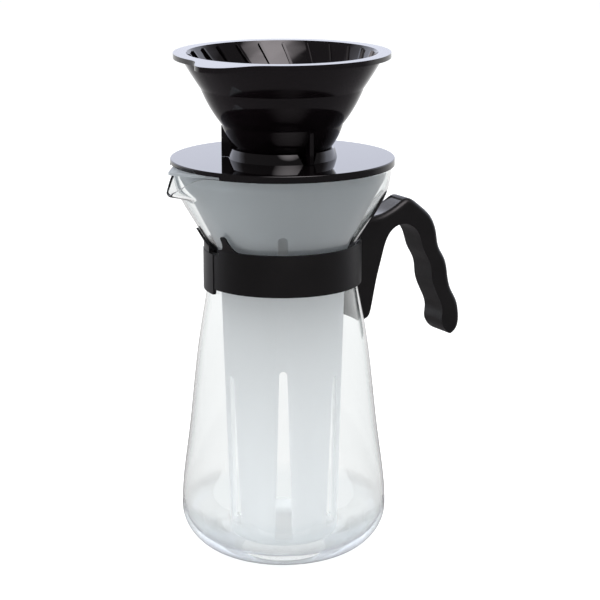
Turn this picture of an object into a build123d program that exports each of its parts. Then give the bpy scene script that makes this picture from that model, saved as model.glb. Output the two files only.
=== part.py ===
from build123d import *
import math
import os

os.makedirs("parts", exist_ok=True)

# An iced coffee maker: a waisted glass carafe with a clip-on handle, and standing on its
# rim a slotted strainer for the ice, a disc stand and a cone dripper. Millimetres, +Z up,
# the origin in the middle of the flat base, the handle on +X and the spout on -X.

# Gaps between the pieces that lift apart, and what a cut runs past its face
seat_gap = 0.2
glass_clearance = 0.2
overrun = 5

# Carafe, blown from borosilicate glass
foot_radius = 24
heel_height = 27.5
body_inset = 2.3
waist_radius = 40.95
waist_height = 169
rim_radius = 60
rim_height = 223
glass_wall = 1.5
glass_floor = 5.5
# Body: share of the way in to the waist, share of the way up to it
side_shares = ((0.251, 0.295), (0.612, 0.669), (0.884, 0.869))
# Flare: share of the way out to the rim, share of the way up to it
flare_shares = ((0.013, 0.157), (0.186, 0.283), (0.538, 0.493), (0.874, 0.715), (0.969, 0.843))

# Pouring spout, pulled out of the rim, and its falling lip
spout_length = 10.5
spout_root_inset = 8
spout_root_radius = 23.7
spout_root_drop = 16.3
spout_tip_radius = 4.3
spout_tip_drop = 11.8
lip_inset = 6
lip_drop = 10.1
# Lip: share of the way out to the tip, share of the fall
lip_shares = ((0.236, 0.047), (0.503, 0.255), (0.861, 0.790))

# Strainer, a translucent funnel and tube that hold the ice
strainer_wall = 1.5
strainer_flange = 1.4
strainer_rim_inset = 0.1
strainer_mouth_clearance = 1.2
funnel_top_drop = 5.7
funnel_bottom_drop = 48
tube_top_radius = 35
tube_foot_radius = 30.1
tube_foot_height = 9.6
tube_corner = 5
funnel_corner = 7
tongue_length = 11
tongue_half_width = 21
tongue_tip_radius = 3

# Slots in the tube: three long recessed ones and three plain ones, widths at foot and top
strip_depth = 0.45
strip_foot_width = 12.5
strip_top_width = 5.4
strip_top_height = 191
long_slot_foot = 14
long_slot_top = 113
plain_slot_foot = 19
plain_slot_top = 106
slot_foot_width = 9.6
slot_top_width = 4.4
slots_of_each_kind = 3

# Stand, a glossy disc with a skirt and a three-part collar for the cone
plate_thickness = 2.4
plate_overhang = 2
skirt_clearance = 0.4
skirt_reach = 1.6
notch_half_angle = 27.2
collar_radius = 30.2
collar_top_radius = 28.7
collar_height = 5.5
collar_bulge = 0.15
collar_gap_foot = 6.4
collar_gap_top = 11.8
cone_clearance = 0.35

# Dripper, a ribbed 60 degree cone on three fins
dripper_rise = 57.6
flange_radius = 59.6
flange_thickness = 2
flange_lip = 0.8
flange_lip_width = 1.4
mouth_radius = 52.5
cone_half_angle = 30
outlet_radius = 9.5
outlet_land = 1.5
outlet_wall = 2.4
# Outer tiers: share of the flange radius, share of the rise down from the top
tier_shares = ((0.931, 0.035), (0.752, 0.337), (0.562, 0.681), (0.451, 0.908))
tier_bulge_shares = (0.005, 0.017, 0.014)
ear_angle = -151
ear_reach = 17
ear_half_angle = 13
ear_power = 2.6
ear_steps = 12
rib_count = 24
rib_start = 1.2
rib_length = 66
rib_height = 1.5
rib_width = 1.4
rib_root = 0.8
rib_twist_rate = 0.5
rib_twist_gain = 0.004
rib_stations = 5
fin_count = 3
fin_angle = 28
fin_radius = 33.6
fin_thickness = 2.35
fin_root = 1.5
fin_shoulder = 1.4

# Handle, two moulded half shells that carry a band round the waist
handle_reach = 114
handle_foot = 113.5
handle_rise = 83.8
handle_half_width = 9.3
handle_edge = 3
# Outlines: share of the way out from the waist, share of the rise
back_shares = (
    (0.159, 0.902), (0.325, 0.927), (0.420, 0.968), (0.498, 1.000), (0.608, 0.950),
    (0.723, 0.857), (0.780, 0.734), (0.802, 0.640), (0.860, 0.549), (0.892, 0.430),
    (0.922, 0.331), (0.975, 0.245), (1.000, 0.150), (0.989, 0.049), (0.930, 0.000),
)
grip_shares = (
    (0.867, 0.035), (0.825, 0.101), (0.830, 0.179), (0.789, 0.285), (0.729, 0.418),
    (0.713, 0.519), (0.647, 0.630), (0.606, 0.736), (0.541, 0.804), (0.450, 0.829),
    (0.357, 0.802), (0.294, 0.728), (0.258, 0.632), (0.207, 0.474), (0.158, 0.276),
    (0.132, 0.220), (0.083, 0.202),
)
root_inset = 3

band_radius = 43.9
band_foot = 157.2
band_height = 23.1
band_dip = 3.6
horn_angle = 17.5
horn_height = 9
horn_thickness = 1.3
horn_tip_width = 4
horn_foot_width = 15
clasp_angle = 30
clasp_drop = 3
clasp_step = 0.4
tongue_angle = 12
tongue_thickness = 1
tongue_margin = 3
snap_gap = 0.1

# Thumb rest, a glossy insert let into the top of the handle
rest_half_width = 6.4
rest_thickness = 1.4
rest_recess = 0.3
rest_fit = 0.15
rest_end_share = 0.47
rest_end_rise = 0.018
rest_end_fit_share = 0.003

# Screws that close the handle from its hidden side
screw_shares = ((0.235, 0.82), (0.675, 0.775), (0.912, 0.125))
screw_head_radius = 2.6
screw_head_height = 1.8
screw_recess = 1.2
screw_shank_radius = 1.4
screw_length = 12
screw_bore_fit = 0.15
drive_width = 0.8
drive_depth = 1


# Heights and radii that follow
body_radius = rim_radius - body_inset
strainer_top = rim_height + seat_gap + strainer_flange
plate_foot = strainer_top + seat_gap
plate_top = plate_foot + plate_thickness
dripper_foot = plate_top + seat_gap
stack_height = dripper_foot + dripper_rise
plate_radius = rim_radius + plate_overhang
skirt_inner = rim_radius + skirt_clearance
band_top = band_foot + band_height
cone_depth = (mouth_radius - outlet_radius) / math.tan(math.radians(cone_half_angle))
outlet_height = stack_height - cone_depth - outlet_land
tiers = [(flange_radius * r, stack_height - dripper_rise * d) for r, d in tier_shares]
cone_top_radius, cone_top_height = tiers[-1]
outlet_outer = outlet_radius + outlet_wall
cone_slope = (cone_top_radius - outlet_outer) / (cone_top_height - outlet_height)


def carafe_side(inset, floor):
    """Draw the carafe's side from its floor up to its rim, set in from the outer face."""
    heel = EllipticalCenterArc(
        (foot_radius, heel_height),
        body_radius - inset - foot_radius,
        heel_height - floor,
        start_angle=270,
        arc_size=90,
    )
    side = [
        (
            body_radius - inset - (body_radius - waist_radius) * share_in,
            heel_height + (waist_height - heel_height) * share_up,
        )
        for share_in, share_up in side_shares
    ]
    flare = [
        (
            waist_radius - inset + (rim_radius - waist_radius) * share_out,
            waist_height + (rim_height - waist_height) * share_up,
        )
        for share_out, share_up in flare_shares
    ]
    upright = (0, 1)
    waist = (waist_radius - inset, waist_height)
    rim = (rim_radius - inset, rim_height)
    Spline(heel @ 1, *side, waist, tangents=(upright, upright))
    Spline(waist, *flare, rim, tangents=(upright, upright))
    return heel @ 0, rim


def cone_radius(height):
    """The outer radius of the dripper's cone at a height."""
    return outlet_outer + cone_slope * (height - outlet_height)


def spout_sections(inset):
    """The two round sections of the spout, as planes and radii, set in from the outer face."""
    sections = []
    for reach, radius, drop in (
        (rim_radius - spout_root_inset, spout_root_radius, spout_root_drop),
        (rim_radius + spout_length, spout_tip_radius, spout_tip_drop),
    ):
        centre = rim_height - drop + radius
        sections.append((Plane((-reach, 0, centre), z_dir=(-1, 0, 0)), radius - inset))
    return sections


# The carafe, outside first, then its hollow
with BuildPart() as carafe:
    with BuildSketch(Plane.XZ):
        with BuildLine():
            foot, rim = carafe_side(0, 0)
            Polyline(rim, (0, rim_height), (0, 0), foot)
        make_face()
    revolve(axis=Axis.Z)
    for plane, radius in spout_sections(0):
        with BuildSketch(plane):
            Circle(radius)
    loft(ruled=True)
    with BuildSketch(Plane.XZ):
        with BuildLine():
            foot, rim = carafe_side(glass_wall, glass_floor)
            brim = (rim_radius - glass_wall, rim_height + overrun)
            Polyline(rim, brim, (0, rim_height + overrun), (0, glass_floor), foot)
        make_face()
    revolve(axis=Axis.Z, mode=Mode.SUBTRACT)
    for plane, radius in spout_sections(glass_wall):
        with BuildSketch(plane):
            Circle(radius)
    loft(ruled=True, mode=Mode.SUBTRACT)
    with BuildSketch(Plane.XZ):
        with BuildLine():
            lip_start = rim_radius - lip_inset
            tip = rim_radius + spout_length
            lip = [
                (-lip_start - (tip - lip_start) * out, rim_height - lip_drop * fall)
                for out, fall in lip_shares
            ]
            lip_end = (-tip, rim_height - lip_drop)
            curve = Spline((-lip_start, rim_height), *lip, lip_end)
            Polyline(
                curve @ 1,
                (-tip - overrun, rim_height - lip_drop),
                (-tip - overrun, rim_height + overrun),
                (-lip_start, rim_height + overrun),
                curve @ 0,
            )
        make_face()
    extrude(amount=rim_radius, both=True, mode=Mode.SUBTRACT)
    with Locations((0, 0, rim_height)):
        Box(
            2 * (tip + overrun),
            2 * rim_radius,
            2 * spout_root_radius,
            align=(Align.CENTER, Align.CENTER, Align.MIN),
            mode=Mode.SUBTRACT,
        )
carafe.part.label = "carafe"
export_step(carafe.part, "parts/carafe.step")


# A body of the carafe's outer form and a clearance, which the handle pieces are cut by
with BuildPart() as glass_space:
    with BuildSketch(Plane.XZ):
        with BuildLine():
            foot, rim = carafe_side(-glass_clearance, 0)
            Polyline(rim, (0, rim_height), (0, 0), foot)
        make_face()
    revolve(axis=Axis.Z)


# The strainer's slots are cut square to its tapering tube
funnel_top = rim_height - funnel_top_drop
funnel_foot = rim_height - funnel_bottom_drop
funnel_radius = rim_radius - glass_wall - strainer_mouth_clearance
tube_lean = math.atan2(tube_top_radius - tube_foot_radius, funnel_foot - tube_foot_height)
tube_face = Plane(
    (tube_foot_radius, 0, tube_foot_height),
    x_dir=(0, 1, 0),
    z_dir=(math.cos(tube_lean), 0, -math.sin(tube_lean)),
)


def slot_outline(foot, top, foot_width, top_width):
    """Draw a slot that narrows upwards and ends in a round head."""
    shoulder = top - tube_foot_height - top_width / 2
    low = foot - tube_foot_height
    left = Line((-foot_width / 2, low), (-top_width / 2, shoulder))
    right = Line((foot_width / 2, low), (top_width / 2, shoulder))
    ThreePointArc(left @ 1, (0, top - tube_foot_height), right @ 1)
    Line(left @ 0, right @ 0)


with BuildPart() as strip_cut:
    with BuildSketch(tube_face.offset(-strip_depth)):
        with BuildLine():
            slot_outline(
                tube_foot_height - overrun, strip_top_height, strip_foot_width, strip_top_width
            )
        make_face()
    extrude(amount=funnel_radius - tube_foot_radius)

with BuildPart() as long_slot_cut:
    with BuildSketch(tube_face):
        with BuildLine():
            slot_outline(long_slot_foot, long_slot_top, slot_foot_width, slot_top_width)
        make_face()
    extrude(amount=strainer_wall + overrun, both=True)

with BuildPart() as plain_slot_cut:
    with BuildSketch(tube_face):
        with BuildLine():
            slot_outline(plain_slot_foot, plain_slot_top, slot_foot_width, slot_top_width)
        make_face()
    extrude(amount=strainer_wall + overrun, both=True)


def strainer_line(inset, floor, top):
    """Draw the strainer's side from the axis at its floor up to its mouth."""
    FilletPolyline(
        (0, floor),
        (tube_foot_radius - inset, floor),
        (tube_top_radius - inset, funnel_foot),
        (funnel_radius - inset, funnel_top),
        (funnel_radius - inset, top),
        radius=(tube_corner - inset, funnel_corner, funnel_corner),
    )
    Polyline((funnel_radius - inset, top), (0, top), (0, floor))


# The strainer hangs by its flange on the carafe's rim; a tongue covers the spout
with BuildPart() as strainer:
    with BuildSketch(Plane.XZ):
        with BuildLine():
            strainer_line(0, tube_foot_height, strainer_top)
        make_face()
    revolve(axis=Axis.Z)
    with BuildSketch(Plane.XY.offset(rim_height + seat_gap)):
        Circle(rim_radius - strainer_rim_inset)
        with BuildLine():
            tongue_tip = -rim_radius - tongue_length
            tongue_root = -math.sqrt(rim_radius**2 - tongue_half_width**2)
            Polyline(
                (tongue_root, -tongue_half_width),
                (tongue_tip, 0),
                (tongue_root, tongue_half_width),
                (tongue_root, -tongue_half_width),
            )
        make_face()
    extrude(amount=strainer_flange)
    tip_edges = strainer.edges().filter_by(Axis.Z).sort_by(Axis.X)[:1]
    fillet(tip_edges, tongue_tip_radius)
    with BuildSketch(Plane.XZ):
        with BuildLine():
            strainer_line(strainer_wall, tube_foot_height + strainer_wall, strainer_top)
        make_face()
    revolve(axis=Axis.Z, mode=Mode.SUBTRACT)
    with PolarLocations(0, slots_of_each_kind):
        add(strip_cut.part, mode=Mode.SUBTRACT)
        add(long_slot_cut.part, mode=Mode.SUBTRACT)
    with PolarLocations(0, slots_of_each_kind, start_angle=180 / slots_of_each_kind):
        add(plain_slot_cut.part, mode=Mode.SUBTRACT)
strainer.part.label = "strainer"
export_step(strainer.part, "parts/strainer.step")


# The stand: disc, skirt and collar in one turned profile, then the gaps and the notch
with BuildPart() as dripper_stand:
    with BuildSketch(Plane.XZ):
        with BuildLine():
            collar_top = plate_top + collar_height
            hole_foot = cone_radius(plate_foot) + cone_clearance
            hole_top = cone_radius(collar_top) + cone_clearance
            Polyline(
                (collar_top_radius, collar_top),
                (hole_top, collar_top),
                (hole_foot, plate_foot),
                (skirt_inner, plate_foot),
                (skirt_inner, plate_foot - skirt_reach),
                (plate_radius, plate_foot - skirt_reach),
                (plate_radius, plate_top),
                (collar_radius, plate_top),
            )
            ThreePointArc(
                (collar_radius, plate_top),
                (
                    (collar_radius + collar_top_radius) / 2 + collar_bulge,
                    plate_top + collar_height / 2,
                ),
                (collar_top_radius, collar_top),
            )
        make_face()
    revolve(axis=Axis.Z)
    outer_edges = dripper_stand.edges().filter_by(GeomType.CIRCLE).sort_by(SortBy.RADIUS)
    fillet(outer_edges[-2:].sort_by(Axis.Z)[-1:], plate_thickness / 4)
    with BuildSketch(Plane.XY.offset(plate_foot)):
        with BuildLine():
            notch_reach = (plate_radius + overrun) / math.cos(math.radians(notch_half_angle))
            corner = (
                -notch_reach * math.cos(math.radians(notch_half_angle)),
                notch_reach * math.sin(math.radians(notch_half_angle)),
            )
            Polyline((0, 0), corner, (corner[0], -corner[1]), (0, 0))
        make_face()
    extrude(amount=-skirt_reach - overrun, mode=Mode.SUBTRACT)
    for fin in range(fin_count):
        turn = math.radians(fin_angle + 360 / fin_count * fin)
        outwards = (math.cos(turn), math.sin(turn), 0)
        sideways = (-math.sin(turn), math.cos(turn), 0)
        with BuildSketch(Plane((0, 0, plate_top), x_dir=sideways, z_dir=outwards)):
            Trapezoid(
                collar_gap_top,
                collar_height,
                math.degrees(math.atan2(2 * collar_height, collar_gap_top - collar_gap_foot)),
                rotation=180,
                align=(Align.CENTER, Align.MAX),
            )
        extrude(amount=collar_radius + overrun, mode=Mode.SUBTRACT)
dripper_stand.part.label = "dripper_stand"
export_step(dripper_stand.part, "parts/dripper_stand.step")


def flange_outline(inset):
    """Draw the dripper's flange: a circle with an ear that swells out of it, set in."""
    points = []
    circle_radius = flange_radius - inset
    for step in range(-ear_steps, ear_steps + 1):
        share = 2 * step / ear_steps
        reach = circle_radius + ear_reach * math.exp(-(abs(share) ** ear_power))
        turn = math.radians(ear_angle + share * ear_half_angle)
        points.append((reach * math.cos(turn), reach * math.sin(turn)))
    ear = Spline(*points)
    across = math.radians(ear_angle + 180)
    ThreePointArc(
        ear @ 1, (circle_radius * math.cos(across), circle_radius * math.sin(across)), ear @ 0
    )


# One rib of the cone, swept down it while it turns; the sections lie level
with BuildPart() as rib:
    for station in range(rib_stations):
        drop = rib_start + rib_length * station / (rib_stations - 1)
        wall = mouth_radius - drop * math.tan(math.radians(cone_half_angle))
        turn = math.radians(-rib_twist_rate * drop - rib_twist_gain * drop**2)
        middle = wall + (rib_root - rib_height) / 2
        outwards = (math.cos(turn), math.sin(turn), 0)
        centre = (middle * outwards[0], middle * outwards[1], stack_height - drop)
        with BuildSketch(Plane(centre, x_dir=outwards, z_dir=(0, 0, 1))):
            Rectangle(rib_root + rib_height, rib_width)
    loft()

# One fin under the cone
with BuildPart() as fin_form:
    with BuildSketch(Plane.XZ):
        with BuildLine():
            kink_radius, kink_height = tiers[2]
            Polyline(
                (fin_radius, dripper_foot),
                (fin_radius, kink_height - fin_shoulder),
                (fin_radius - fin_shoulder, kink_height + fin_shoulder / 3),
                (kink_radius - fin_root - fin_shoulder, kink_height),
                (cone_radius(dripper_foot) - fin_root, dripper_foot),
                (fin_radius, dripper_foot),
            )
        make_face()
    extrude(amount=fin_thickness / 2, both=True)

# The dripper without its ribs: flange with its ear, three bulging tiers, cone and fins
with BuildPart() as dripper_form:
    with BuildSketch(Plane.XY.offset(stack_height - flange_thickness)):
        with BuildLine():
            flange_outline(0)
        make_face()
    extrude(amount=flange_thickness)
    with BuildSketch(Plane.XY.offset(stack_height - flange_thickness)):
        with BuildLine():
            flange_outline(0)
        make_face()
        with BuildLine():
            flange_outline(flange_lip_width)
        make_face(mode=Mode.SUBTRACT)
    extrude(amount=-flange_lip)
    with BuildSketch(Plane.XZ):
        with BuildLine():
            for upper, lower, bulge in zip(tiers, tiers[1:], tier_bulge_shares):
                middle = (
                    (upper[0] + lower[0]) / 2 + flange_radius * bulge,
                    (upper[1] + lower[1]) / 2,
                )
                ThreePointArc(upper, middle, lower)
            Polyline(
                tiers[-1],
                (outlet_outer, outlet_height),
                (0, outlet_height),
                (0, stack_height - flange_thickness / 2),
                (tiers[0][0], stack_height - flange_thickness / 2),
                tiers[0],
            )
        make_face()
    revolve(axis=Axis.Z)
    with PolarLocations(0, fin_count, start_angle=fin_angle):
        add(fin_form.part)
    with BuildSketch(Plane.XZ):
        with BuildLine():
            cone_foot = stack_height - cone_depth
            Polyline(
                (0, stack_height),
                (mouth_radius, stack_height),
                (outlet_radius, cone_foot),
                (outlet_radius, outlet_height),
                (0, outlet_height),
                (0, stack_height),
            )
        make_face()
    revolve(axis=Axis.Z, mode=Mode.SUBTRACT)

with BuildPart() as dripper:
    add(dripper_form.part)
    with PolarLocations(0, rib_count):
        add(rib.part)
dripper.part.label = "dripper"
export_step(dripper.part, "parts/dripper.step")


def handle_points(shares, drop=0):
    """Places on the handle's outline, from their shares of its reach and rise."""
    return [
        (waist_radius + (handle_reach - waist_radius) * out, handle_foot + handle_rise * up - drop)
        for out, up in shares
    ]


def clasp_sector(inner, outer, low, high, angle):
    """A ring sector on the clasp's side, from the seam over the spout towards +Y."""
    with BuildPart(mode=Mode.PRIVATE) as sector:
        with BuildSketch(Plane.XZ):
            with BuildLine():
                Polyline((inner, low), (outer, low), (outer, high), (inner, high), (inner, low))
            make_face()
        revolve(axis=Axis.Z, revolution_arc=angle)
    return sector.part.rotate(Axis.Z, 180 - angle)


# Over the spout, a plane whose x runs towards -Y and whose y runs up
over_spout = Plane((0, 0, 0), x_dir=(0, -1, 0), z_dir=(-1, 0, 0))
horn_foot = band_top - band_dip
horn_top = band_top + horn_height

# One horn of the band: a tongue that lies on the flare of the glass
with BuildPart() as horn:
    with BuildSketch(over_spout):
        with BuildLine():
            waist_of_horn = horn_foot + (horn_top - horn_foot) / 2
            left = Spline(
                (-horn_foot_width / 2, band_top),
                (-horn_tip_width * 0.8, waist_of_horn),
                (-horn_tip_width / 2, horn_top - horn_tip_width / 2),
                tangents=((1, 0), (0, 1)),
            )
            ThreePointArc(left @ 1, (0, horn_top), (horn_tip_width / 2, horn_top - horn_tip_width / 2))
            right = Spline(
                (horn_tip_width / 2, horn_top - horn_tip_width / 2),
                (horn_tip_width * 0.8, waist_of_horn),
                (horn_foot_width / 2, band_top),
                tangents=((0, -1), (1, 0)),
            )
            Polyline(
                right @ 1,
                (horn_foot_width / 2, horn_foot),
                (-horn_foot_width / 2, horn_foot),
                left @ 0,
            )
        make_face()
    extrude(amount=rim_radius)
    with BuildSketch(Plane.XZ):
        with BuildLine():
            foot, rim = carafe_side(-glass_clearance - horn_thickness, 0)
            Polyline(rim, (0, rim_height), (0, 0), foot)
        make_face()
    revolve(axis=Axis.Z, mode=Mode.INTERSECT)


def rest_outline(drop, low, high, end_share):
    """Draw a strip along the handle's top, between two depths under its outline."""
    line = handle_points(back_shares[:3], drop)
    start = (waist_radius, line[0][1] - (line[1][1] - line[0][1]))
    end_height = line[2][1] + handle_rise * rest_end_rise
    end = (waist_radius + (handle_reach - waist_radius) * end_share, end_height)
    places = [start, *line, end]
    upper = Spline(*[(x, z + high) for x, z in places])
    lower = Spline(*[(x, z - low) for x, z in places])
    Line(upper @ 0, lower @ 0)
    Line(upper @ 1, lower @ 1)


# The handle and its band as one form, which the seam then parts
with BuildPart() as handle_form:
    with BuildSketch(Plane.XZ):
        with BuildLine():
            inside = waist_radius - root_inset
            back = Spline(*handle_points(back_shares))
            grip = Spline(back @ 1, *handle_points(grip_shares))
            Polyline(
                grip @ 1,
                (inside, (grip @ 1).Y),
                (inside, (back @ 0).Y),
                back @ 0,
            )
        make_face()
    extrude(amount=handle_half_width, both=True)
    side_edges = handle_form.faces().filter_by(Axis.Y).edges()
    fillet(side_edges.filter_by(GeomType.BSPLINE).group_by(SortBy.LENGTH)[0], handle_edge)
    with BuildSketch(Plane.XZ):
        with BuildLine():
            Polyline(
                (inside, band_foot),
                (band_radius, band_foot),
                (band_radius, band_top),
                (inside, band_top),
                (inside, band_foot),
            )
        make_face()
    revolve(axis=Axis.Z)
    with BuildSketch(over_spout):
        with Locations((0, band_top - band_dip)):
            dip_width = 2 * band_radius * math.sin(math.radians(horn_angle)) - horn_foot_width
            Rectangle(dip_width, band_dip + overrun, align=(Align.CENTER, Align.MIN))
    extrude(amount=rim_radius, mode=Mode.SUBTRACT)
    for side in (-1, 1):
        add(horn.part.rotate(Axis.Z, side * horn_angle))
    with BuildSketch(Plane.XZ):
        with BuildLine():
            rest_outline(rest_recess, rest_thickness + rest_fit, overrun, rest_end_share)
        make_face()
    extrude(amount=rest_half_width + rest_fit, both=True, mode=Mode.SUBTRACT)
    add(glass_space.part, mode=Mode.SUBTRACT)

tongue_foot = band_foot + tongue_margin
tongue_top = band_top - band_dip - tongue_margin
tongue_outer = waist_radius + glass_clearance + tongue_thickness
screw_heads = handle_half_width - screw_recess
screw_places = handle_points(screw_shares)

# The half on the -Y side has the clasp's inner tongue and blind bores for the screws
with BuildPart() as handle_half_left:
    add(handle_form.part)
    split(bisect_by=Plane.XZ, keep=Keep.TOP)
    add(clasp_sector(inside, tongue_outer, tongue_foot, tongue_top, tongue_angle))
    add(glass_space.part, mode=Mode.SUBTRACT)
    with BuildSketch(Plane.XZ):
        with Locations(*screw_places):
            Circle(screw_shank_radius + screw_bore_fit)
    extrude(amount=screw_length + screw_head_height - screw_heads + snap_gap, mode=Mode.SUBTRACT)
handle_half_left.part.label = "handle_half_left"
export_step(handle_half_left.part, "parts/handle_half_left.step")

# The half on the +Y side has the clasp's outer lug and the stepped bores
with BuildPart() as handle_half_right:
    add(handle_form.part)
    split(bisect_by=Plane.XZ, keep=Keep.BOTTOM)
    add(
        clasp_sector(
            inside, band_radius + clasp_step, band_foot - clasp_drop, band_top - band_dip, clasp_angle
        )
    )
    add(
        clasp_sector(
            inside,
            tongue_outer + snap_gap,
            tongue_foot - snap_gap,
            tongue_top + snap_gap,
            tongue_angle + snap_gap,
        ),
        mode=Mode.SUBTRACT,
    )
    add(glass_space.part, mode=Mode.SUBTRACT)
    with BuildSketch(Plane.XZ):
        with Locations(*screw_places):
            Circle(screw_shank_radius + screw_bore_fit)
    extrude(amount=-handle_half_width, mode=Mode.SUBTRACT)
    with BuildSketch(Plane.XZ.offset(-screw_heads + screw_head_height + snap_gap)):
        with Locations(*screw_places):
            Circle(screw_head_radius + screw_bore_fit)
    extrude(amount=-handle_half_width, mode=Mode.SUBTRACT)
handle_half_right.part.label = "handle_half_right"
export_step(handle_half_right.part, "parts/handle_half_right.step")


# The thumb rest lies in the pocket that both halves share
with BuildPart() as thumb_rest:
    with BuildSketch(Plane.XZ):
        with BuildLine():
            rest_outline(rest_recess, rest_thickness, 0, rest_end_share - rest_end_fit_share)
        make_face()
    extrude(amount=rest_half_width, both=True)
    add(glass_space.part, mode=Mode.SUBTRACT)
thumb_rest.part.label = "thumb_rest"
export_step(thumb_rest.part, "parts/thumb_rest.step")

# Three like screws with a cross recess, put in from the +Y side
with BuildPart() as handle_screws:
    with BuildSketch(Plane.XZ.offset(-screw_heads)):
        with Locations(*screw_places):
            Circle(screw_head_radius)
    extrude(amount=screw_head_height)
    with BuildSketch(Plane.XZ.offset(-screw_heads + screw_head_height)):
        with Locations(*screw_places):
            Circle(screw_shank_radius)
    extrude(amount=screw_length)
    with BuildSketch(Plane.XZ.offset(-screw_heads)):
        with Locations(*screw_places):
            Rectangle(1.4 * screw_head_radius, drive_width)
            Rectangle(drive_width, 1.4 * screw_head_radius)
    extrude(amount=drive_depth, mode=Mode.SUBTRACT)
handle_screws.part.label = "handle_screws"
export_step(handle_screws.part, "parts/handle_screws.step")
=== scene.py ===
import math

import bmesh
import bpy
import numpy as np
from mathutils import Euler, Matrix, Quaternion


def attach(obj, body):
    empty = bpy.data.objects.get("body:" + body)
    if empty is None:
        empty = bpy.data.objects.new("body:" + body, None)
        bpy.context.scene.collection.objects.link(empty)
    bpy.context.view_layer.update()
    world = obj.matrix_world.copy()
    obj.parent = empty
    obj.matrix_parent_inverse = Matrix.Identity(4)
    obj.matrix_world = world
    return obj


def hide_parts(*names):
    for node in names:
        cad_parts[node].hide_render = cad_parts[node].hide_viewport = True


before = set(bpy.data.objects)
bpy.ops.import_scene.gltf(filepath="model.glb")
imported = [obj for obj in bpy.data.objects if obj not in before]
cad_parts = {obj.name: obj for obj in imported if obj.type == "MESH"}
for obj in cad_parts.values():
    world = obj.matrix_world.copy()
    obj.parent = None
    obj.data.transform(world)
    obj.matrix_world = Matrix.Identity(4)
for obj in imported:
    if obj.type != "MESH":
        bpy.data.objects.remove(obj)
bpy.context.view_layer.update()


# The studio: the maker stands on a white table in front of a white backdrop, lit softly from
# both sides and from above. The camera stands 60 degrees round from the spout, as in the
# photograph, and looks down by about 14 degrees.
camera_azimuth = -30.0
camera_distance = 1.192
camera_height = 0.4338
camera_pitch = 13.59
camera_yaw = 0.0080
camera_roll = -0.0017
sensor_width = 36
focal_pixels = 2189
picture_pixels = 600

camera_data = bpy.data.cameras.new("camera")
camera_data.sensor_width = sensor_width
camera_data.lens = focal_pixels * sensor_width / picture_pixels
camera = bpy.data.objects.new("camera", camera_data)
bpy.context.collection.objects.link(camera)
heading = math.radians(camera_azimuth)
camera_side = (math.sin(heading), -math.cos(heading), 0)
backdrop_side = (-math.sin(heading), math.cos(heading), 0)
camera.location = (
    camera_distance * camera_side[0],
    camera_distance * camera_side[1],
    camera_height,
)
aim = Euler((math.radians(90 - camera_pitch), 0, heading - camera_yaw)).to_quaternion()
camera.rotation_mode = "QUATERNION"
camera.rotation_quaternion = aim @ Quaternion((0, 0, 1), camera_roll)
bpy.context.scene.camera = camera
bpy.context.scene.view_settings.view_transform = "Standard"


class Socket:
    """A node's output, on which the signs of arithmetic add Math nodes."""

    def __init__(self, shader, link):
        self.shader, self.link = shader, link

    def maths(self, operation, *others):
        values = dict(enumerate((self, *others)))
        return self.shader.node("ShaderNodeMath", {"operation": operation}, values)

    def __add__(self, other):
        return self.maths("ADD", other)

    def __sub__(self, other):
        return self.maths("SUBTRACT", other)

    def __rsub__(self, other):
        return self.shader.node("ShaderNodeMath", {"operation": "SUBTRACT"}, {0: other, 1: self})

    def __mul__(self, other):
        return self.maths("MULTIPLY", other)

    __radd__ = __add__
    __rmul__ = __mul__


class Shader:
    """The node tree of a material or a world, which adds nodes through one method."""

    def __init__(self, owner):
        owner.use_nodes = True
        self.tree = owner.node_tree
        self.tree.nodes.clear()

    def node(self, kind, settings=None, values=None, output=0):
        """Adds a node with its settings, then the values or links of its sockets."""
        made = self.tree.nodes.new(kind)
        for name, value in (settings or {}).items():
            if name == "stops":
                elements = made.color_ramp.elements
                elements.remove(elements[1])
                first_position, first_colour = value[0]
                elements[0].position = first_position
                elements[0].color = (*first_colour, 1)
                for position, colour in value[1:]:
                    elements.new(position).color = (*colour, 1)
            else:
                setattr(made, name, value)
        for name, value in (values or {}).items():
            if isinstance(value, Socket):
                self.tree.links.new(value.link, made.inputs[name])
            else:
                made.inputs[name].default_value = value
        return Socket(self, made.outputs[output]) if made.outputs else made

    def along(self, vector, axis):
        """How far a vector goes along an axis."""
        values = {0: vector, 1: axis}
        return self.node("ShaderNodeVectorMath", {"operation": "DOT_PRODUCT"}, values, "Value")

    def ramp(self, factor, *stops):
        """A colour that a factor takes from stop to stop."""
        return self.node("ShaderNodeValToRGB", {"stops": stops}, {"Fac": factor})

    def by_ray(self, light, mirrored, plain, clear):
        """One shader for each kind of ray that meets a surface or the world.

        Matt surfaces are lit by light, gloss shows mirrored, the camera sees plain, and what
        is seen through glass is clear. Light is mixed in last, because a ray that comes
        through frosted plastic counts both as one through glass and as one of light.
        """
        path = self.node("ShaderNodeLightPath").link.node.outputs
        mixed = light
        for ray, shown in (
            ("Is Glossy Ray", mirrored),
            ("Is Camera Ray", plain),
            ("Is Transmission Ray", clear),
            ("Is Diffuse Ray", light),
        ):
            values = {0: Socket(self, path[ray]), 1: mixed, 2: shown}
            mixed = self.node("ShaderNodeMixShader", values=values)
        return mixed


# The room: matt surfaces get their light from behind and from the sides, and little from the
# camera's side. Gloss shows the backdrop, bright up to about 20 degrees, a dark room, and one
# soft lamp high on the camera's side.
room_light = 1.05
wall_gleam = 1.7
lamp_gleam = 6.5
lamp_direction = (-0.16, -0.64, 0.75)
shade_reach = 0.5
shade_strength = 1.2

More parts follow.
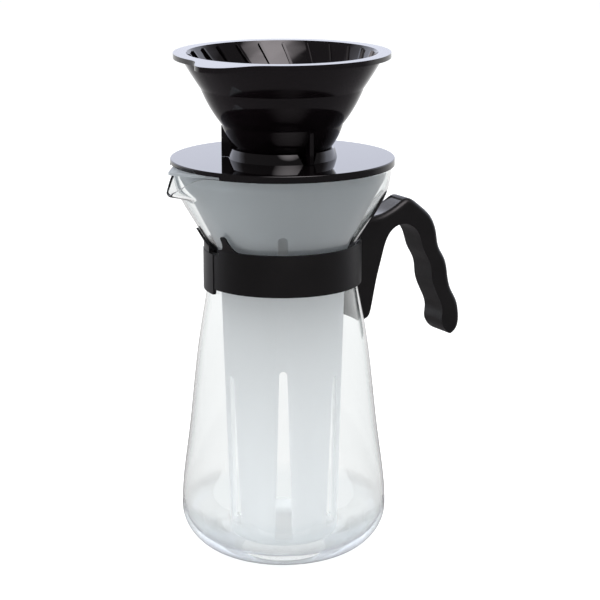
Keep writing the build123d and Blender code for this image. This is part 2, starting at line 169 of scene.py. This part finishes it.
world = bpy.data.worlds.new("studio")
bpy.context.scene.world = world
sky = Shader(world)
direction = sky.node("ShaderNodeTexCoord", output="Generated")
rise = sky.node("ShaderNodeSeparateXYZ", values={"Vector": direction}, output="Z")
towards = sky.along(direction, camera_side)
near_side = (towards + shade_reach).maths("MAXIMUM", 0.0)
wall = sky.ramp(
    rise + shade_strength * near_side,
    (0.0, (0.84, 0.87, 1.0)),
    (0.36, (0.84, 0.87, 1.0)),
    (0.55, (0.45, 0.45, 0.50)),
    (0.85, (0.10, 0.095, 0.10)),
)
soft_lamp = sky.ramp(
    sky.along(direction, lamp_direction), (0.86, (0, 0, 0)), (1.0, (1.0, 0.93, 0.96))
)
lit_side = sky.ramp(
    towards * 0.5 + 0.5,
    (0.0, (0.98, 0.99, 1.0)),
    (0.5, (0.90, 0.92, 0.94)),
    (0.75, (0.14, 0.14, 0.14)),
)
room = sky.node("ShaderNodeBackground", values={"Color": lit_side, "Strength": room_light})
gleam = sky.node("ShaderNodeBackground", values={"Color": wall, "Strength": wall_gleam})
glow = sky.node("ShaderNodeBackground", values={"Color": soft_lamp, "Strength": lamp_gleam})
reflected = sky.node("ShaderNodeAddShader", values={0: gleam, 1: glow})
white = sky.node("ShaderNodeBackground", values={"Color": (1, 1, 1, 1), "Strength": 1.0})
surface = sky.by_ray(room, reflected, white, white)
sky.node("ShaderNodeOutputWorld", values={"Surface": surface})

# The table: a flat matt white board, so wide that its edge stays out of sight. The camera sees
# it lifted to the backdrop's white, and gloss shows it dark near the maker and bright a metre
# behind it.
table_size = 12.0

table_mesh = bpy.data.meshes.new("table")
corners = np.array([(-1, -1, 0), (1, -1, 0), (1, 1, 0), (-1, 1, 0)]) * table_size / 2
table_mesh.from_pydata(corners.tolist(), [], [(0, 1, 2, 3)])
table = bpy.data.objects.new("table", table_mesh)
bpy.context.collection.objects.link(table)
table_finish = bpy.data.materials.new("table_white")
shader = Shader(table_finish)
matt = shader.node("ShaderNodeBsdfDiffuse", values={"Color": (0.8, 0.8, 0.8, 1)})
lift = shader.node("ShaderNodeEmission", values={"Color": (1, 1, 1, 1), "Strength": 0.45})
lifted = shader.node("ShaderNodeAddShader", values={0: matt, 1: lift})
place = shader.node("ShaderNodeTexCoord", output="Object")
shine = shader.ramp(
    shader.along(place, backdrop_side),
    (0.0, (0.19, 0.18, 0.19)),
    (0.25, (0.22, 0.21, 0.22)),
    (1.0, (0.9, 0.9, 0.9)),
)
dim = shader.node("ShaderNodeEmission", values={"Color": shine, "Strength": 1.0})
bright = shader.node("ShaderNodeEmission", values={"Color": (1, 1, 1, 1), "Strength": 0.98})
surface = shader.by_ray(matt, dim, lifted, bright)
shader.node("ShaderNodeOutputMaterial", values={"Surface": surface})
table_mesh.materials.append(table_finish)

# The lamps: two soft boxes at the sides and a smaller one above the camera's side, which light
# matt surfaces and cast the shadow. Gloss and glass don't show them.
lamp_aim = (0, 0, 0.15)


def soft_box(name, place, width, height, watts):
    """A rectangular lamp at a place, turned to face the middle of the maker."""
    lamp_data = bpy.data.lights.new(name, "AREA")
    lamp_data.shape = "RECTANGLE"
    lamp_data.size, lamp_data.size_y = width, height
    lamp_data.energy = watts
    lamp = bpy.data.objects.new(name, lamp_data)
    away = np.array(place) - np.array(lamp_aim)
    lamp.location = place
    turn = math.atan2(away[0], -away[1])
    tilt = math.atan2(away[2], math.hypot(away[0], away[1]))
    lamp.rotation_euler = (math.pi / 2 - tilt, 0, turn)
    lamp.visible_glossy = False
    lamp.visible_transmission = False
    bpy.context.collection.objects.link(lamp)


soft_box("lamp_left", (-1.7, 0.5, 1.0), width=0.8, height=1.4, watts=16)
soft_box("lamp_right", (1.5, 0.6, 0.9), width=0.8, height=1.2, watts=12)
soft_box("lamp_above", (-0.25, -0.75, 1.75), width=0.5, height=0.5, watts=5)

# The carafe: one piece of clear borosilicate glass, blown into a waisted mould with a heavy
# foot. Its rim is fire-polished round, and the spout is pulled out of the hot rim by hand.
# Its shape is worked out in mm, as the solid is that it replaces.
foot_radius = 24
heel_height = 27.5
body_radius = 57.7
waist_radius = 40.95
waist_height = 169
rim_radius = 60
rim_height = 223
glass_wall = 1.5
glass_floor = 5.5
half_wall = glass_wall / 2

# Body: share of the way in to the waist, share of the way up to it
side_shares = ((0.251, 0.295), (0.612, 0.669), (0.884, 0.869))
# Flare: share of the way out to the rim, share of the way up to it
flare_shares = ((0.013, 0.157), (0.186, 0.283), (0.538, 0.493), (0.874, 0.715), (0.969, 0.843))

# Spout: how far out, radius and lowest height of the circle at its root and at its tip
spout_root = (52, 23.7, 206.7)
spout_tip = (70.5, 4.3, 211.2)
spout_blend = 4.5

# Search for the spout's face: where it starts, how far it goes, how often it halves the way,
# and the cosine under which a turn is on the spout's side
spout_inside = 44.0
spout_search = 30
spout_halvings = 26
spout_side = -0.5

# Lip: share of the way out to the tip, share of the fall
lip_shares = ((0.236, 0.047), (0.503, 0.255), (0.861, 0.790))
lip_start = 54
lip_end = spout_tip[0]
lip_fall = 10.1
lip_end_slope = -0.9

# Rows of each part of the mesh, and its columns, which stand closer at the spout
floor_rings = 7
heel_rows = 26
side_rows = 54
fine_rows = 420
flare_rows = 60
rim_rows = 9
glass_columns = 256
spout_crowding = 0.62

# Where the rim's part starts, how far below the rim its close rows end, and half of the
# height over which a slope is measured
flare_foot = 186
fine_margin = 0.3
slope_probe = 0.01


def clamped_curve(places, values, slopes):
    """A cubic spline through values at places with both end slopes given.

    The slopes at the knots solve the equations that make the second derivative run on, and each
    piece is then the cubic Hermite curve between its two knots.
    """
    places, values = np.array(places, float), np.array(values, float)
    steps = np.diff(places)
    rises = np.diff(values) / steps
    inner = np.arange(1, len(places) - 1)
    matrix = np.eye(len(places))
    right = np.zeros(len(places))
    right[0], right[-1] = slopes
    matrix[inner, inner - 1] = 1 / steps[:-1]
    matrix[inner, inner] = 2 / steps[:-1] + 2 / steps[1:]
    matrix[inner, inner + 1] = 1 / steps[1:]
    right[inner] = 3 * (rises[:-1] / steps[:-1] + rises[1:] / steps[1:])
    knot_slopes = np.linalg.solve(matrix, right)

    def curve(at):
        piece = np.clip(np.searchsorted(places, at) - 1, 0, len(steps) - 1)
        share = (at - places[piece]) / steps[piece]
        left = (1 + 2 * share) * (1 - share) ** 2 * values[piece]
        left += share * (1 - share) ** 2 * steps[piece] * knot_slopes[piece]
        over = share**2 * (3 - 2 * share) * values[piece + 1]
        return left + over + share**2 * (share - 1) * steps[piece] * knot_slopes[piece + 1]

    return curve


def shared_curve(places, values, shares, slopes=(0, 0)):
    """A clamped curve from one place and value to another, through shares of both ways.

    Each pair holds the share of the way between the values, then of that between the places.
    """
    (start, end), (first, last) = places, values
    return clamped_curve(
        [start, *(start + (end - start) * share for _, share in shares), end],
        [first, *(first + (last - first) * share for share, _ in shares), last],
        slopes,
    )


side_line = shared_curve((heel_height, waist_height), (body_radius, waist_radius), side_shares)
flare_line = shared_curve((waist_height, rim_height), (waist_radius, rim_radius), flare_shares)
lip_line = shared_curve(
    (lip_start, lip_end),
    (rim_height, rim_height - lip_fall),
    [(fall, out) for out, fall in lip_shares],
    (0, lip_end_slope),
)


def glass_radius(height):
    """The carafe's outer radius above its heel: one spline up to the waist, one on to the rim."""
    low = side_line(np.minimum(height, waist_height))
    high = flare_line(np.clip(height, waist_height, rim_height))
    return np.where(height < waist_height, low, high)


def spout_reach(turn, height):
    """How far out along a ray the spout reaches at a height, and 0 where it doesn't.

    The spout is a row of upright circles that shrink and rise from its root to its tip. The way
    between a place inside the rim and one past the tip is halved again and again.
    """
    near = np.full(np.broadcast(turn, height).shape, spout_inside)
    far = near + spout_search
    for _ in range(spout_halvings):
        reach = (near + far) / 2
        share = (-reach * np.cos(turn) - spout_root[0]) / (spout_tip[0] - spout_root[0])
        radius = spout_root[1] + (spout_tip[1] - spout_root[1]) * share
        bottom = spout_root[2] + (spout_tip[2] - spout_root[2]) * share
        within = (reach * np.sin(turn)) ** 2 + (height - bottom - radius) ** 2 < radius**2
        near = np.where(within, reach, near)
        far = np.where(within, far, reach)
    return np.where((near > spout_inside) & (np.cos(turn) < spout_side), near, 0)


def smooth_larger(first, second, blend):
    """The larger of two, rounded where they differ by less than the blend.

    It is raised by a quarter of the blend times the square of the share of it that is left.
    """
    share = np.maximum(blend - np.abs(first - second), 0) / blend
    return np.maximum(first, second) + share**2 * blend / 4


def unit(vectors):
    """Vectors divided by their lengths."""
    return vectors / np.linalg.norm(vectors, axis=-1, keepdims=True)


def turned(radii, heights, turn):
    """A profile carried round the axis: rows go along the profile and columns round it.

    A place is the radius times the turn's cosine, the radius times its sine, and the height.
    """
    return np.stack([radii * np.cos(turn), radii * np.sin(turn), heights + 0 * turn], -1)


def grid_piece(name, grid, finish, crease):
    """A mesh from a grid of places in mm, closed round its columns; doubles at the poles merge."""
    rows, columns = grid.shape[:2]
    index = np.arange(rows * columns).reshape(rows, columns)
    index = np.concatenate([index, index[:, :1]], axis=1)
    faces = np.stack([index[:-1, :-1], index[:-1, 1:], index[1:, 1:], index[1:, :-1]], -1)
    mesh = bpy.data.meshes.new(name)
    mesh.from_pydata((grid.reshape(-1, 3) / 1000).tolist(), [], faces.reshape(-1, 4).tolist())
    shape = bmesh.new()
    shape.from_mesh(mesh)
    bmesh.ops.remove_doubles(shape, verts=shape.verts, dist=1e-6)
    bmesh.ops.recalc_face_normals(shape, faces=shape.faces)
    shape.to_mesh(mesh)
    shape.free()
    mesh.shade_smooth()
    mesh.set_sharp_from_angle(angle=math.radians(crease))
    mesh.materials.append(finish)
    piece = bpy.data.objects.new(name, mesh)
    bpy.context.collection.objects.link(piece)
    return piece


around = np.arange(glass_columns) * 2 * math.pi / glass_columns
glass_turn = (around + spout_crowding * np.sin(around))[None, :]

# The floor is flat, and the heel is a quarter of an ellipse from it up to the body
heel_turn = np.radians(np.linspace(270, 360, heel_rows))
flat_radii = np.linspace(0, foot_radius, floor_rings)[:-1]


def foot_part(radius, floor):
    """The floor at a height and the heel round it, out to a radius.

    The heel's radius and height are its ellipse's half axes times the turn's cosine and sine.
    """
    heel_radii = foot_radius + (radius - foot_radius) * np.cos(heel_turn)
    heel_heights = heel_height + (heel_height - floor) * np.sin(heel_turn)
    radii = np.concatenate([flat_radii, heel_radii])
    heights = np.concatenate([0 * flat_radii + floor, heel_heights])
    return turned(radii[:, None], heights[:, None], glass_turn)


foot_outside = foot_part(body_radius, 0)
foot_inside = foot_part(body_radius - glass_wall, glass_floor)

# The side follows its lines, and its inner face lies a wall's thickness away, square to it
side_heights = np.linspace(heel_height, flare_foot, side_rows)[1:-1, None]
side_radii = glass_radius(side_heights)
side_above = glass_radius(side_heights + slope_probe)
side_below = glass_radius(side_heights - slope_probe)
side_slopes = (side_above - side_below) / (2 * slope_probe)
side_square = np.sqrt(1 + side_slopes**2)
side_outside = turned(side_radii, side_heights, glass_turn)
side_inside = turned(
    side_radii - glass_wall / side_square,
    side_heights + glass_wall * side_slopes / side_square,
    glass_turn,
)

# The rim's part is worked out on close rows, cut off where the lip's line falls, and then drawn
# again on rows that lie evenly along the glass.
fine_heights = np.linspace(flare_foot, rim_height - fine_margin, fine_rows)[:, None]
round_radii = glass_radius(fine_heights) + 0 * glass_turn
fine_radii = smooth_larger(round_radii, spout_reach(glass_turn, fine_heights), spout_blend)
fine = turned(fine_radii, fine_heights, glass_turn)
upward = unit(np.gradient(fine, axis=0))
sideways = unit(np.roll(fine, -1, axis=1) - np.roll(fine, 1, axis=1))
outward = unit(np.cross(sideways, upward))
wall_middle = fine - half_wall * outward
brim = wall_middle[..., 2] + half_wall * np.hypot(outward[..., 2], upward[..., 2])
reach = -wall_middle[..., 0]
below_lip = lip_line(np.clip(reach, lip_start, lip_end)) - brim
spare = np.minimum(below_lip, lip_end - half_wall - reach)

columns = np.arange(glass_columns)
cut_row = np.argmax(spare < 0, axis=0)
last_spare, cut_spare = spare[cut_row - 1, columns], spare[cut_row, columns]
steps = np.linalg.norm(np.diff(fine, axis=0), axis=-1)
lengths = np.concatenate([np.zeros((1, glass_columns)), np.cumsum(steps, axis=0)])
last_step = last_spare / (last_spare - cut_spare) * steps[cut_row - 1, columns]
whole = lengths[cut_row - 1, columns] + last_step
wanted = np.linspace(0, 1, flare_rows)[:, None] * whole
row = np.clip((lengths[:, None, :] <= wanted[None]).sum(axis=0) - 1, 0, fine_rows - 2)
passed = (wanted - lengths[row, columns]) / (lengths[row + 1, columns] - lengths[row, columns])


def evenly(values):
    """Values of the close rows, mixed by how far each even row has passed the one below it."""
    share = passed[..., None]
    return values[row, columns] * (1 - share) + values[row + 1, columns] * share


flare_outside = evenly(fine)
flare_out = unit(evenly(outward))
flare_up = unit(evenly(upward))
flare_inside = flare_outside - glass_wall * flare_out

# The rim is half a circle from the outer face over to the inner one
rim_turn = np.linspace(0, math.pi, rim_rows)[1:-1, None, None]
rim_middle = flare_outside[-1] - half_wall * flare_out[-1]
rim_arc = np.cos(rim_turn) * flare_out[-1] + np.sin(rim_turn) * flare_up[-1]
rim_round = rim_middle + half_wall * rim_arc

glass_outside = [foot_outside, side_outside, flare_outside, rim_round]
glass_inside = [flare_inside[::-1], side_inside[::-1], foot_inside[::-1]]
glass_grid = np.concatenate([*glass_outside, *glass_inside])

# Painted shade: where the inner face is seen at a slant, the glass is darkened to stand in for
# the dark room seen bent through the wall, over a faint tint of the glass's own.
# The heavy foot's brightness is painted light and shade by height: a share of rays goes straight
# through it unbent, most in the heel, less on its floor and at a slant, and none above 34 mm.
edge_shade_foot = 0.020
edge_shade_rise = 0.030
foot_light_heights = (0, 0.004, 0.009, 0.024, 0.034)
foot_light_shares = (0.3, 0.35, 0.85, 0.9, 0)

glass = bpy.data.materials.new("carafe_clear")
shader = Shader(glass)
facing = shader.node("ShaderNodeLayerWeight", values={"Blend": 0.5}, output="Facing")
inner_wall = shader.node("ShaderNodeAttribute", {"attribute_name": "inner_wall"}, output="Fac")
foot = shader.node("ShaderNodeAttribute", {"attribute_name": "foot"}, output="Fac")
# Painted shade: the glass's dark edge lines, over a faint tint of its own where it faces the
# camera.
painted_edge_shade = shader.ramp(
    facing * inner_wall,
    (0.0, (0.985, 0.995, 0.995)),
    (0.72, (0.96, 0.985, 0.985)),
    (0.90, (0.62, 0.70, 0.71)),
    (1.0, (0.16, 0.20, 0.21)),
)
clear = shader.node(
    "ShaderNodeBsdfPrincipled",
    values={"Base Color": painted_edge_shade, "Roughness": 0.0, "IOR": 1.47, "Transmission Weight": 1.0},
)
cast = shader.node("ShaderNodeBsdfTransparent", values={"Color": (0.95, 0.965, 0.97, 1)})
# Painted light and shade: the share of straight-through rays, set by height and less at a slant.
painted_foot_light = foot * (1.0 - facing * facing * facing)
glass_with_painted_foot_light = shader.node("ShaderNodeMixShader", values={0: painted_foot_light, 1: clear, 2: cast})
bare = shader.node("ShaderNodeBsdfTransparent", values={"Color": (0.95, 0.965, 0.965, 1)})
shade = shader.node("ShaderNodeLightPath", output="Is Shadow Ray")
surface = shader.node("ShaderNodeMixShader", values={0: shade, 1: glass_with_painted_foot_light, 2: bare})
shader.node("ShaderNodeOutputMaterial", values={"Surface": surface})

carafe = grid_piece("carafe_glass", glass_grid, glass, crease=60.0)
vertices = carafe.data.vertices
places, normals = np.zeros(len(vertices) * 3), np.zeros(len(vertices) * 3)
vertices.foreach_get("co", places)
vertices.foreach_get("normal", normals)
places, normals = places.reshape(-1, 3), normals.reshape(-1, 3)
inwards = (places[:, :2] * normals[:, :2]).sum(axis=1) < 0
# Where the painted edge shade may fall: the inner face, fading in from 20 to 50 mm up.
edge_shade_values = inwards * np.clip((places[:, 2] - edge_shade_foot) / edge_shade_rise, 0, 1)
# Painted foot light: the straight-through share at each height.
foot_light_values = np.interp(places[:, 2], foot_light_heights, foot_light_shares)
for attribute, values in (("inner_wall", edge_shade_values), ("foot", foot_light_values)):
    carafe.data.attributes.new(attribute, "FLOAT", "POINT").data.foreach_set("value", values)
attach(carafe, "carafe_body")
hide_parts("carafe")


# The handle: two halves moulded from black plastic with a fine matt grain, which meet in the
# middle plane. Each has half of the band that clips round the waist of the glass.
def plastic(name, colour, roughness, grain=0.0):
    """Moulded plastic of one colour, with a fine grain where that is given.

    The roughness is worn unevenly: noise takes up to a quarter of it away or adds as much.
    """
    finish = bpy.data.materials.new(name)
    shader = Shader(finish)
    place = shader.node("ShaderNodeTexCoord", output="Object")
    noise = {"Vector": place, "Scale": 60.0, "Detail": 3.0}
    wear = shader.node("ShaderNodeTexNoise", values=noise)
    rough = roughness + (wear - 0.5) * (roughness * 0.5)
    values = {"Base Color": (*colour, 1), "Roughness": rough, "IOR": 1.5}
    if grain:
        noise = {"Vector": place, "Scale": 900.0, "Detail": 2.0}
        fine = shader.node("ShaderNodeTexNoise", values=noise)
        bump = {"Strength": grain, "Distance": 0.0002, "Height": fine}
        values["Normal"] = shader.node("ShaderNodeBump", values=bump)
    surface = shader.node("ShaderNodeBsdfPrincipled", values=values)
    shader.node("ShaderNodeOutputMaterial", values={"Surface": surface})
    return finish


def dress(node, finish):
    """Puts a finish on a CAD node, whose shape is shown as it is."""
    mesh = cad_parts[node].data
    mesh.materials.clear()
    mesh.materials.append(finish)


grip = plastic("handle_black", (0.0022, 0.0018, 0.002), 0.40, grain=0.25)
dress("handle_half_left", grip)
dress("handle_half_right", grip)

# The thumb rest: a small insert moulded from glossy plastic. It lies in a pocket on top of the
# handle, which both halves share. Its dark grey is painted reflection: lighter than the handle's
# black, it stands in for the bright room mirrored in its glossy top.
# Painted reflection: the thumb rest's colour is lighter than the handle's black.
dress("thumb_rest", plastic("thumb_rest_painted_reflection", (0.10, 0.10, 0.11), 0.10))

# The screws: three like ones of steel with a cross recess, put in from the side away from the
# camera. They close the two halves of the handle.
steel = bpy.data.materials.new("screw_steel")
shader = Shader(steel)
surface = shader.node(
    "ShaderNodeBsdfPrincipled",
    values={"Base Color": (0.6, 0.6, 0.6, 1), "Metallic": 1.0, "Roughness": 0.35},
)
shader.node("ShaderNodeOutputMaterial", values={"Surface": surface})
dress("handle_screws", steel)

# The strainer: a funnel and a slotted tube that hold the ice, moulded in one piece from frosted
# clear plastic, and hung by its flange on the rim of the glass. The funnel is painted darker and
# less see-through than the tube: painted shade, where the black stand above keeps light off it.
# The change runs between two heights.
funnel_shade_foot = 0.165
funnel_shade_top = 0.190
tube_clearness = 0.94
funnel_shade_strength = 0.46

frosted = bpy.data.materials.new("strainer_frosted")
shader = Shader(frosted)
place = shader.node("ShaderNodeTexCoord", output="Object")
up = shader.node("ShaderNodeSeparateXYZ", values={"Vector": place}, output="Z")
funnel_shade = shader.node(
    "ShaderNodeMapRange",
    values={"Value": up, "From Min": funnel_shade_foot, "From Max": funnel_shade_top},
    output="Result",
)
# Painted shade: the frosted colour darkens from the tube's up into the funnel's.
colour = shader.ramp(funnel_shade, (0.0, (0.90, 0.92, 0.94)), (1.0, (0.62, 0.66, 0.69)))
skin = shader.node(
    "ShaderNodeBsdfPrincipled", values={"Base Color": colour, "Roughness": 0.38, "IOR": 1.49}
)
tube_light = shader.node("ShaderNodeBsdfTranslucent", values={"Color": (0.99, 0.995, 1.0, 1)})
# Painted shade: the light through the funnel is darker than through the tube.
funnel_shaded_light = shader.node("ShaderNodeBsdfTranslucent", values={"Color": (0.76, 0.78, 0.80, 1)})
through = shader.node("ShaderNodeMixShader", values={0: funnel_shade, 1: tube_light, 2: funnel_shaded_light})
# Painted shade: the funnel lets less light through than the tube.
shaded_clearness = tube_clearness - funnel_shade * funnel_shade_strength
surface = shader.node("ShaderNodeMixShader", values={0: shaded_clearness, 1: skin, 2: through})
shader.node("ShaderNodeOutputMaterial", values={"Surface": surface})
dress("strainer", frosted)

# The stand: a disc with a collar in three parts for the cone, moulded from black plastic with a
# mirror polish. It lies loose on the strainer's flange, and its skirt goes round the flange.
dress("dripper_stand", plastic("stand_black", (0.004, 0.003, 0.0035), 0.03))

# The dripper: a cone for a paper filter, with ribs that turn as they go down, three fins and an
# ear, moulded in one piece from glossy black plastic. Its fins stand loose on the stand's disc,
# in the gaps of the collar.
dress("dripper", plastic("dripper_black", (0.0045, 0.003, 0.004), 0.09))
